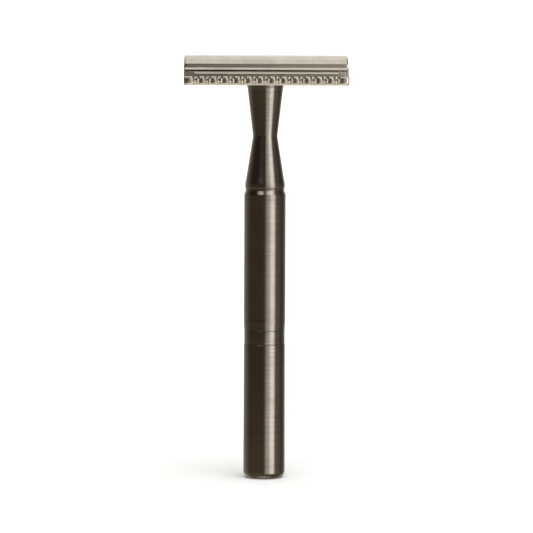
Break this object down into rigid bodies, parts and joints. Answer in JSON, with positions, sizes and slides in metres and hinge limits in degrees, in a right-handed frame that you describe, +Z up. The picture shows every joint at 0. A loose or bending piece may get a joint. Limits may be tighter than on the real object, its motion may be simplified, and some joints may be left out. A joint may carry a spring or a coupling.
{
  "type": "double-edge safety razor",
  "caption": "Double-edge safety razor with a crowned cap, fluted guard bars and a waisted neck on a round, finely grooved handle that unscrews to release the blade.",
  "frame": {"origin": "centre of the handle's bottom face, where the razor stands", "axes": "+Z up along the handle's axis, +X along the cutting edges, front faces -Y"},
  "size_m": [0.043, 0.0248, 0.1123],
  "materials": {
    "nickel": "satin nickel plate with fine brushing along the head",
    "blade_steel": "thin stainless strip with ground edges",
    "gunmetal": "dark brown-grey gunmetal plate, turned and satin-polished",
    "gunmetal_grooved": "dark gunmetal plate over fine turned grooves",
    "plain_steel": "uncoated machined steel, hidden inside the handle"
  },
  "bodies": {
    "handle": {"neck": "gunmetal", "upper_grip": "gunmetal_grooved", "band_ring": "gunmetal", "lower_grip": "gunmetal", "end_cap": "gunmetal", "core_rod": "plain_steel"},
    "plate": {"base_plate": "nickel"},
    "cap": {"top_cap": "nickel", "cap_stud": "nickel", "guide_posts": "nickel"},
    "blade": {"razor_blade": "blade_steel"}
  },
  "joints": [
    {"name": "head_turn", "type": "hinge", "parent": "handle", "child": "plate", "pos_m": [0, 0, 0.104], "axis": [0, 0, 1], "range_deg": [0, 3600]},
    {"name": "cap_lift", "type": "slide", "parent": "plate", "child": "cap", "axis": [0, 0, 1], "range_m": [0, 0.008]},
    {"name": "blade_lift", "type": "slide", "parent": "plate", "child": "blade", "axis": [0, 0, 1], "range_m": [0, 0.004]}
  ],
  "couplings": [
    {"joint": "cap_lift", "follows": "head_turn", "m_per_rad": 0.00012732},
    {"joint": "blade_lift", "follows": "head_turn", "m_per_rad": 0.000063662}
  ]
}
